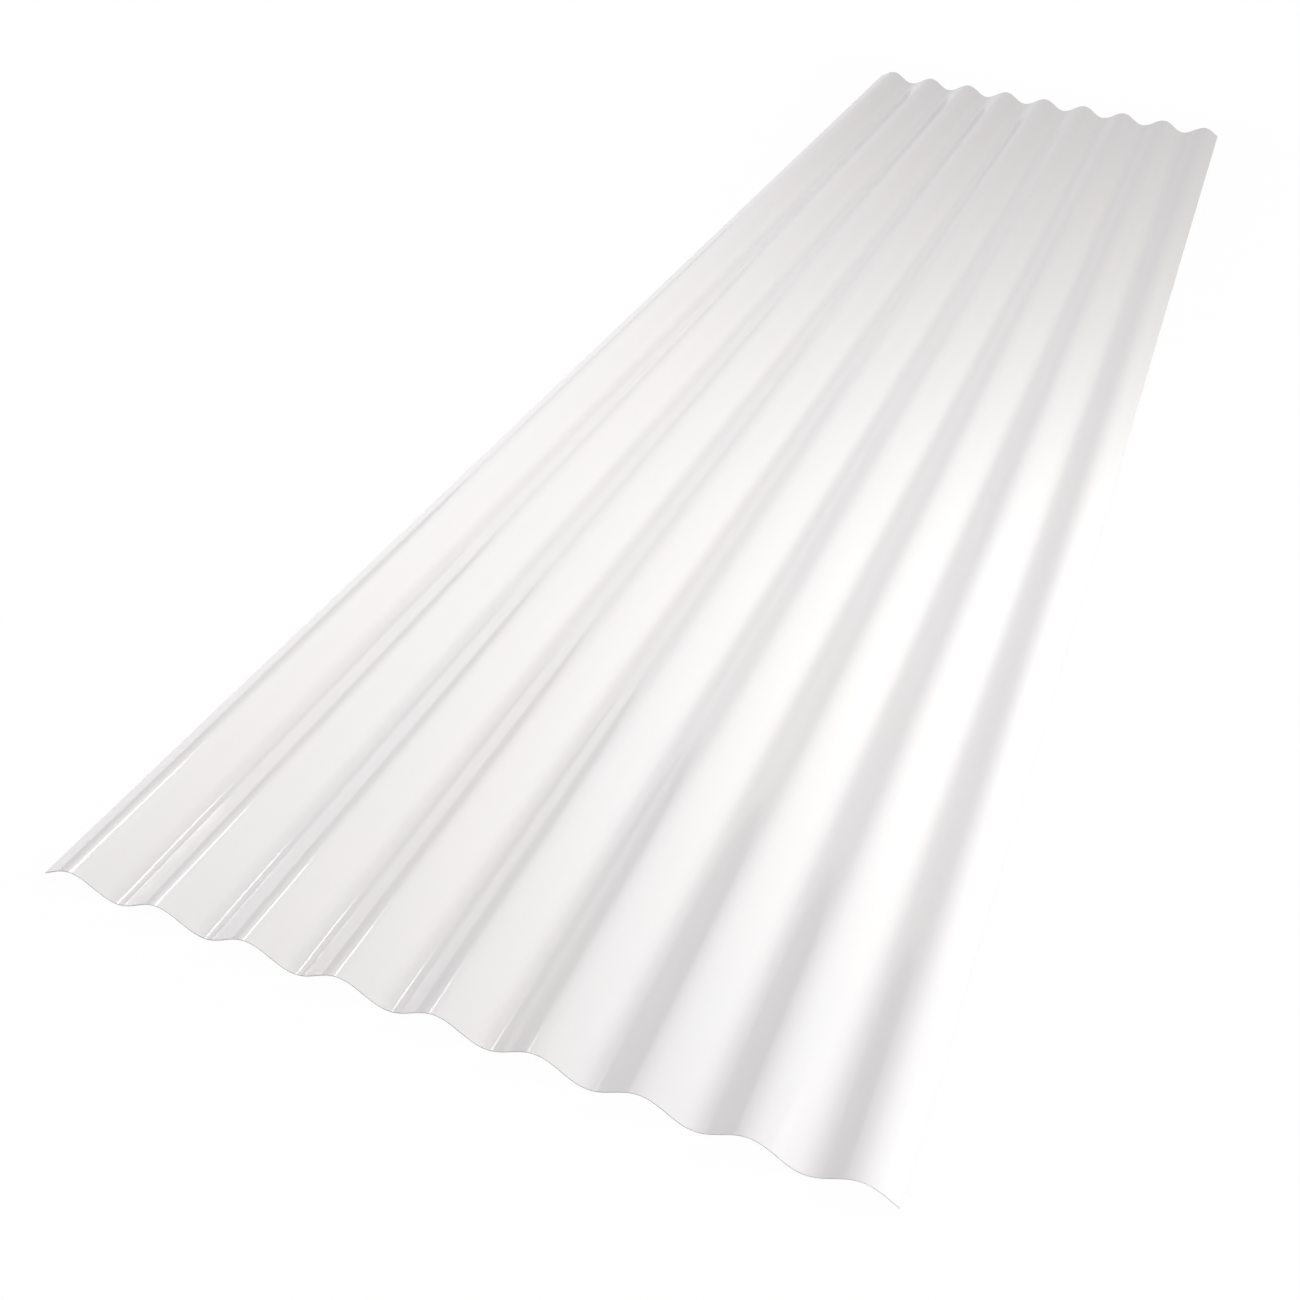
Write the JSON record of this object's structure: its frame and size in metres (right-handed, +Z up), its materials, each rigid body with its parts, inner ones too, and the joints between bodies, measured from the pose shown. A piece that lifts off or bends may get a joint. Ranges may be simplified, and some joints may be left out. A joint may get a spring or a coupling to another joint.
{
  "type": "corrugated pvc roofing panel",
  "caption": "Long thin white PVC roofing sheet formed in an even sine wave, with square-cut ends and plain trimmed side edges, lying on its valleys.",
  "frame": {"origin": "on the floor, midway between the two cut ends and the two side edges", "axes": "+X across the waves, +Y along the waves, +Z up, from the valleys to the crests"},
  "size_m": [0.6604, 2.4384, 0.016],
  "materials": {
    "white_pvc": "smooth glossy extruded white PVC"
  },
  "bodies": {
    "root": {"corrugated_sheet": "white_pvc"}
  },
  "joints": []
}
